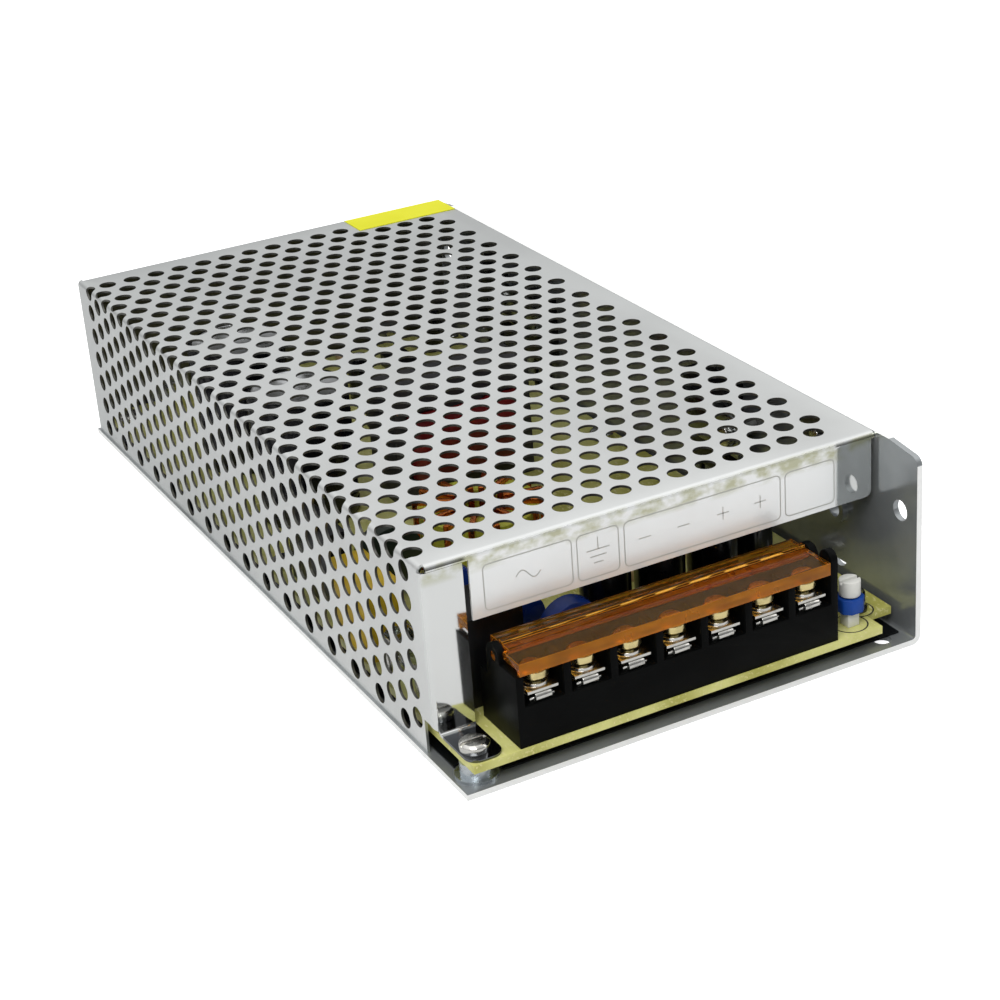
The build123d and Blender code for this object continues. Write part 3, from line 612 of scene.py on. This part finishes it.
def side_place(height):
    """The blank's coordinate of a height on the left side."""
    return left + bend_radius - bend_run - (top - bend_radius - height)


def foot_place(y):
    """The blank's coordinate of a place along the foot."""
    return side_place(foot_fold) - foot_fold_run - (front - foot_bend - y)


def tab_place(x):
    """The blank's coordinate of a place across the tab."""
    return front + bend_radius - bend_run - (x - left - bend_radius)


def cover_outline():
    """The outline of the cover's flat blank, from the flange's left end and counter-clockwise."""
    fold_front = front + bend_radius
    front_turned = fold_front - bend_run
    flange_end = front_turned - (flange_height - bend_radius)
    flange_left = tab_right + slot_width
    flange_right = right - flange_end_gap
    rear_start = rear - bend_radius
    rear_turned = rear_start + bend_run
    rear_end = rear_turned + (top - bend_radius - bottom)
    rear_left = left + sheet + 0.1 * MM
    fold_left = left + bend_radius
    tab_edge = tab_place(tab_right)
    tab_top = side_place(top - bend_radius - seam)
    foot_edge = tab_place(fold_left)
    foot_end = foot_place(front - foot_length)
    points = [(flange_left, flange_end)]
    points += rounded((flange_right - flange_corner, flange_end + flange_corner), -90, 90, flange_corner)
    points += [
        (flange_right, front_turned),
        (right, front_turned),
        (right, rear_end - rear_notch),
        (right - rear_notch, rear_end - rear_notch),
        (right - rear_notch, rear_end),
        (rear_left, rear_end),
        (rear_left, rear_turned + seam),
        (fold_left + seam, rear_turned + seam),
        (fold_left + seam, rear_start),
        (fold_left, rear_start),
        (fold_left, rear),
        (side_place(bottom), rear),
        (side_place(bottom), front + relief_depth),
        (side_place(relief_top), front + relief_depth),
        (side_place(relief_top), fold_front),
        (side_place(foot_fold), foot_edge),
    ]
    points += rounded((foot_end + foot_corner, foot_edge - foot_corner), 90, 90, foot_corner)
    points += rounded((foot_end + foot_corner, tab_edge + foot_corner), 180, 90, foot_corner)
    points += [
        (tab_top, tab_edge),
        (tab_top, fold_front),
        (fold_left, fold_front),
        (fold_left + seam, fold_front),
        (fold_left + seam, front_turned),
        (flange_left, front_turned),
    ]
    return points


def cover_holes():
    """The perforation, the foot's screw hole and those of the rear screws, on the flat blank."""
    holes = []
    for row in range(row_count):
        y = first_row - row * row_pitch
        even = row % 2 == 0
        first = top_first if even else top_first - top_pitch / 2
        holes += [circle(first + i * top_pitch, y, hole_radius, hole_sides) for i in range(top_holes)]
        depth = side_first + (side_pitch / 2 if even else 0)
        places = [side_place(top - depth - k * side_pitch) for k in range(side_holes)]
        holes += [circle(u, y, hole_radius, hole_sides) for u in places]
        if even:
            on_fold = (first + places[0]) / 2
            holes.append(circle(on_fold, y, hole_radius, fine_hole_sides))
    foot_x, foot_y = left + tab_width / 2, front - foot_length + tab_width / 2
    holes.append(circle(foot_place(foot_y), tab_place(foot_x), screw_hole, fine_hole_sides))
    v = rear - bend_radius + bend_run + (top - bend_radius - bottom - rear_screw_height)
    holes += [circle(x, v, screw_hole, hole_sides) for x in rear_screws]
    return holes


def fold_cuts(direction, start, run, count):
    """Planes that divide the flat blank across a bend, so that the bend comes out round."""
    normal = Vector(direction)
    return [(normal * (start + run * i / count), normal) for i in range(count + 1)]


def perforated_cover():
    """The cover as one folded sheet with all its round holes, and the lugs that it hides."""
    across, along = (1, 0, 0), (0, 1, 0)
    cuts = fold_cuts(across, left + bend_radius, -bend_run, bend_steps)
    cuts += fold_cuts(along, front + bend_radius, -bend_run, bend_steps)
    cuts += fold_cuts(along, rear - bend_radius, bend_run, bend_steps)
    cuts += fold_cuts(across, side_place(foot_fold), -foot_fold_run, foot_bend_steps)
    mesh = folded_sheet("cover_form", cover_outline(), cover_holes(), cuts, cover_point, sheet)
    show("cover_look", mesh, "steel", replaces=("mesh_cover",))
    mesh.materials.append(looks["steel inside with painted shade"])
    for number, y in enumerate(lugs, start=1):
        outline = [
            (y - lug_width / 2, top - sheet),
            (y + lug_width / 2, top - sheet),
            (y + lug_width / 2, top - lug_height),
            (y - lug_width / 2, top - lug_height),
        ]
        hole = circle(y, top - lug_hole_depth, lug_hole, hole_sides)
        mesh = folded_sheet(f"lug_form_{number}", outline, [hole], [], lug_point, sheet)
        show(f"cover_lug_{number}", mesh, "steel")
        mesh.materials.append(looks["steel inside with painted shade"])


perforated_cover()


# Marks on the flange: plain outlines and signs, etched into the steel

def ribbon(name, path, width, closed, place, look):
    """A flat line of a given width along a path, laid just proud of a surface by the place function."""
    shape = bmesh.new()
    count = len(path)
    sides = []
    for i, point in enumerate(path):
        before = path[(i - 1) % count] if closed or i else point
        after = path[(i + 1) % count] if closed or i < count - 1 else point
        along = (Vector(after) - Vector(before)).normalized()
        across = Vector((-along.y, along.x)) * width / 2
        edges = (Vector(point) + across, Vector(point) - across)
        sides.append([shape.verts.new(place(*edge)) for edge in edges])
    for i in range(count if closed else count - 1):
        a, b = sides[i], sides[(i + 1) % count]
        shape.faces.new((a[0], a[1], b[1], b[0]))
    show(name, mesh_from(name, shape), look)


def on_flange(x, z):
    return Vector((x, front - mark_height, z))


def frame_path(x0, x1, z0, z1, radius):
    """A rectangle with rounded corners."""
    path = rounded((x1 - radius, z1 - radius), 0, 90, radius, 5)
    path += rounded((x0 + radius, z1 - radius), 90, 90, radius, 5)
    path += rounded((x0 + radius, z0 + radius), 180, 90, radius, 5)
    path += rounded((x1 - radius, z0 + radius), 270, 90, radius, 5)
    return path


def flange_marks():
    """Four outlined fields over the terminals, with generic signs for earth, minus, plus and a wave."""
    field_low, field_high = top - 12.0 * MM, top - 3.0 * MM
    fields = ((-36.4, -18.6), (-17.5, -8.9), (-7.7, 26.1), (27.2, 38.3))
    field_corner = 1.0 * MM
    for number, (x0, x1) in enumerate(fields, start=1):
        path = frame_path(x0 * MM, x1 * MM, field_low, field_high, field_corner)
        ribbon(f"field_{number}", path, mark_width, True, on_flange, "etch")

    earth_x, earth_z = -13.2 * MM, top - 6.6 * MM
    earth_bars, earth_step = (2.4, 1.7, 1.0), 1.3 * MM
    strokes = [[(earth_x, field_high - 1.2 * MM), (earth_x, earth_z)]]
    for step, half in enumerate(earth_bars):
        z = earth_z - step * earth_step
        strokes.append([(earth_x - half * MM, z), (earth_x + half * MM, z)])

    sign_z, sign_half = top - 7.2 * MM, 1.3 * MM
    minus_places, plus_places = (-3.4, 4.8), (13.4, 21.6)
    for x in minus_places + plus_places:
        strokes.append([(x * MM - sign_half, sign_z), (x * MM + sign_half, sign_z)])
        if x in plus_places:
            strokes.append([(x * MM, sign_z - sign_half), (x * MM, sign_z + sign_half)])

    wave_x, wave_length, wave_height, wave_steps = -27.5 * MM, 5 * MM, 1.0 * MM, 12
    strokes.append([
        (
            wave_x + wave_length * (step / wave_steps - 0.5),
            sign_z + wave_height * math.sin(2 * math.pi * step / wave_steps),
        )
        for step in range(wave_steps + 1)
    ])
    for number, path in enumerate(strokes, start=1):
        ribbon(f"sign_{number}", path, mark_width, False, on_flange, "etch")


flange_marks()


# CAD nodes that keep their shape and get a material

for node, look in {
    "chassis": "tray",
    "yellow_label": "label",
    "standoffs": "post",
    "insulating_sheet": "sheet",
    "circuit_board": "board",
    "fuse": "glass",
    "resistors": "beige",
    "output_choke_core": "ring",
}.items():
    nodes[node].data.materials.clear()
    nodes[node].data.materials.append(looks[look])


# CAD nodes whose sharp edges are rounded

for node, look in {
    "terminal_block": "black",
    "terminal_contacts": "hardware",
    "cover_screws": "hardware",
    "board_screws": "hardware",
    "clamp_bar_screws": "hardware",
    "clamp_bars": "aluminium",
    "trimmer_stem": "white",
    "trimmer_body": "blue",
    "trimmer_knob": "white",
    "fuse_clips": "hardware",
    "line_choke": "case",
    "x_capacitor": "yellow box",
    "bridge_rectifier": "case",
    "control_chip": "case",
    "disc_capacitors": "blue disc",
    "thermistor": "green disc",
    "transformer_core": "ferrite",
    "driver_core": "ferrite",
    "transformer_winding": "tape",
    "driver_winding": "tape",
    "power_transistors": "case",
    "output_rectifier": "case",
    "output_choke_winding": "copper",
    "indicator_lamp": "clear",
    "foot_screw": "hardware",
}.items():
    softened(node, look)


def lid_with_painted_glow_edges():
    """The clear lid, whose rounded edges and lip get a less clear orange plastic: painted glow for the
    light they gather.
    """
    mesh = softened("terminal_lid", "amber", 0.35 * MM, 3).data
    mesh.materials.append(looks["amber edge with painted glow"])
    lip_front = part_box("terminal_lid")[0].y + 0.1 * MM
    flat_from = 0.985
    for face in mesh.polygons:
        flat = max(abs(part) for part in face.normal) > flat_from
        if not flat or face.center.y < lip_front:
            face.material_index = 1


lid_with_painted_glow_edges()

for number in range(1, 8):
    softened(f"clamp_plate_{number}", "hardware", 0.08 * MM)
    softened(f"terminal_screw_{number}", "brass", 0.12 * MM)


# Round capacitors

def turned(shape, x, y, profile, sides=40):
    """Adds a turned form to a bmesh and gives the faces of its bands, with the top face as the last."""
    rings = []
    for radius, z in profile:
        rings.append([shape.verts.new((*point, z)) for point in circle(x, y, radius, sides)])
    bands = []
    for low, high in zip(rings, rings[1:]):
        corners = [(low[i - 1], low[i], high[i], high[i - 1]) for i in range(sides)]
        bands.append([shape.faces.new(four) for four in corners])
    shape.faces.new(list(reversed(rings[0])))
    bands.append([shape.faces.new(rings[-1])])
    return bands


def solids_of(node):
    """The box of each separate solid of a CAD node, as (low, high) corners."""
    shape = bmesh.new()
    shape.from_mesh(nodes[node].data)
    bmesh.ops.remove_doubles(shape, verts=shape.verts[:], dist=0.001 * MM)
    left_over = set(shape.verts)
    boxes = []
    while left_over:
        group, waiting = set(), [next(iter(left_over))]
        while waiting:
            vert = waiting.pop()
            if vert in group:
                continue
            group.add(vert)
            waiting += [edge.other_vert(vert) for edge in vert.link_edges]
        left_over -= group
        low = Vector(min(v.co[k] for v in group) for k in range(3))
        high = Vector(max(v.co[k] for v in group) for k in range(3))
        boxes.append((low, high))
    shape.free()
    return sorted(boxes, key=lambda b: (round(b[0].y, 5), round(b[0].x, 5)))


def cans(node, groove):
    """The round capacitors of a node: sleeve, a groove near the base if asked for, rolled rim and metal
    top."""
    shape = bmesh.new()
    for low, high in solids_of(node):
        x, y = (low.x + high.x) / 2, (low.y + high.y) / 2
        radius = (high.x - low.x) / 2
        rim = min(1.0 * MM, radius / 4)
        profile = [(radius - rim / 2, low.z), (radius, low.z + rim / 2)]
        if groove:
            profile += [
                (radius, low.z + 2.2 * MM),
                (radius - 0.4 * MM, low.z + 2.5 * MM),
                (radius - 0.4 * MM, low.z + 3.1 * MM),
                (radius, low.z + 3.4 * MM),
            ]
        profile += [
            (radius, high.z - rim),
            (radius - 0.3 * rim, high.z - 0.25 * rim),
            (radius - rim, high.z),
            (radius - 1.2 * rim, high.z - 0.15 * rim),
            (radius - 1.5 * rim, high.z - 0.4 * rim),
        ]
        bands = turned(shape, x, y, profile)
        for face in bands[-1] + bands[-2]:
            face.material_index = 1
    mesh = mesh_from(node + "_form", shape)
    finish_mesh(mesh, 50)
    show(node + "_look", mesh, "sleeve", replaces=(node,))
    mesh.materials.append(looks["can"])


cans("primary_capacitors", groove=True)
cans("output_capacitors", groove=True)
cans("small_capacitors", groove=False)


# Prints on the board: plain rings round the lamp and the trimmer

def on_board(x, y):
    return Vector((x, y, board_top + ring_height))


board_rings = (("indicator_lamp", 3.0 * MM), ("trimmer_stem", 3.4 * MM))
for number, (node, radius) in enumerate(board_rings, start=1):
    low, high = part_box(node)
    ring = circle((low.x + high.x) / 2, (low.y + high.y) / 2, radius, 40)
    ribbon(f"board_ring_{number}", ring, ring_width, True, on_board, "print")


# Stage

def soft_floor():
    """A pale floor that looks white to the camera: it glows strongly there, and faintly in reflections."""
    half = 3.0
    corners = [(-half, -half, 0), (half, -half, 0), (half, half, 0), (-half, half, 0)]
    mesh = bpy.data.meshes.new("floor")
    mesh.from_pydata(corners, [], [(0, 1, 2, 3)])
    floor = bpy.data.objects.new("floor", mesh)
    bpy.context.scene.collection.objects.link(floor)
    material = new_material("floor", (0.62, 0.62, 0.62), 0.9)
    parts = material.node_tree.nodes
    plain = parts["Principled BSDF"].outputs[0]
    rays = add(material, "ShaderNodeLightPath").outputs
    glow = add(material, "ShaderNodeEmission")
    glowing = add(material, "ShaderNodeAddShader")
    mix = add(material, "ShaderNodeMixShader")
    strength = span(material, rays["Is Camera Ray"], 0.0, 1.0, 0.02, 0.9)
    seen = maximum(material, rays["Is Camera Ray"], rays["Is Glossy Ray"])
    seen = maximum(material, seen, rays["Is Transmission Ray"])
    link(material, strength, glow.inputs["Strength"])
    link(material, plain, glowing.inputs[0])
    link(material, glow.outputs[0], glowing.inputs[1])
    link(material, seen, mix.inputs[0])
    link(material, plain, mix.inputs[1])
    link(material, glowing.outputs[0], mix.inputs[2])
    link(material, mix.outputs[0], parts["Material Output"].inputs["Surface"])
    mesh.materials.append(material)


def pale_world():
    """White to the camera, and for everything else a soft room: paler overhead, darker in front."""
    world = bpy.data.worlds.new("room")
    world.use_nodes = True
    bpy.context.scene.world = world
    background = world.node_tree.nodes["Background"]
    background.inputs["Color"].default_value = (1, 1, 1, 1)
    place = add(world, "ShaderNodeTexCoord")
    split = add(world, "ShaderNodeSeparateXYZ")
    path = add(world, "ShaderNodeLightPath")
    link(world, place.outputs["Generated"], split.inputs["Vector"])
    overhead = span(world, split.outputs["Z"], 0.15, 0.75, 0.5, 1.25)
    backward = span(world, split.outputs["Y"], -0.75, -0.1, 0.31, 1.0)
    strength = add(world, "ShaderNodeMix")
    link(world, path.outputs["Is Camera Ray"], strength.inputs[0])
    link(world, multiply(world, overhead, backward), strength.inputs[2])
    strength.inputs[3].default_value = 1.0
    link(world, strength.outputs[0], background.inputs["Strength"])


def area_light(name, place, size, power):
    """A round lamp that shines at the object."""
    data = bpy.data.lights.new(name, "AREA")
    data.shape = "DISK"
    data.size = size
    data.energy = power
    lamp = bpy.data.objects.new(name, data)
    bpy.context.scene.collection.objects.link(lamp)
    lamp.location = place
    lamp.rotation_euler = (-Vector(place)).to_track_quat("-Z", "Y").to_euler()


soft_floor()
pale_world()
area_light("key", (-0.45, -0.62, 0.85), size=0.6, power=7)
area_light("fill", (0.95, -0.25, 0.55), size=0.8, power=2)


# Camera: its place and angles are fitted to the photograph. The shift moves it sideways and upward

view_azimuth = math.radians(-26.253)
view_elevation = math.radians(25.242)
view_roll = math.radians(-4.398)
view_distance = 485.946 * MM
view_shift = (9.648 * MM, 4.622 * MM)
view_focal_ratio = 2.215035
sensor = 36.0


def photo_camera():
    """The photograph's camera, built from the direction that points back from the object to it."""
    back = Vector((
        math.sin(view_azimuth) * math.cos(view_elevation),
        -math.cos(view_azimuth) * math.cos(view_elevation),
        math.sin(view_elevation),
    ))
    across = (-back).cross(Vector((0, 0, 1))).normalized()
    upward = across.cross(-back)
    place = back * view_distance + across * view_shift[0] + upward * view_shift[1]
    rolled_across = across * math.cos(view_roll) + upward * math.sin(view_roll)
    rolled_upward = upward * math.cos(view_roll) - across * math.sin(view_roll)
    data = bpy.data.cameras.new("camera")
    data.sensor_width = sensor
    data.lens = sensor * view_focal_ratio
    data.clip_start = 0.01
    data.clip_end = 20
    camera = bpy.data.objects.new("camera", data)
    bpy.context.scene.collection.objects.link(camera)
    turn = Matrix((rolled_across, rolled_upward, back)).transposed()
    camera.matrix_world = Matrix.Translation(place) @ turn.to_4x4()
    bpy.context.scene.camera = camera


photo_camera()
bpy.context.scene.view_settings.view_transform = "Standard"
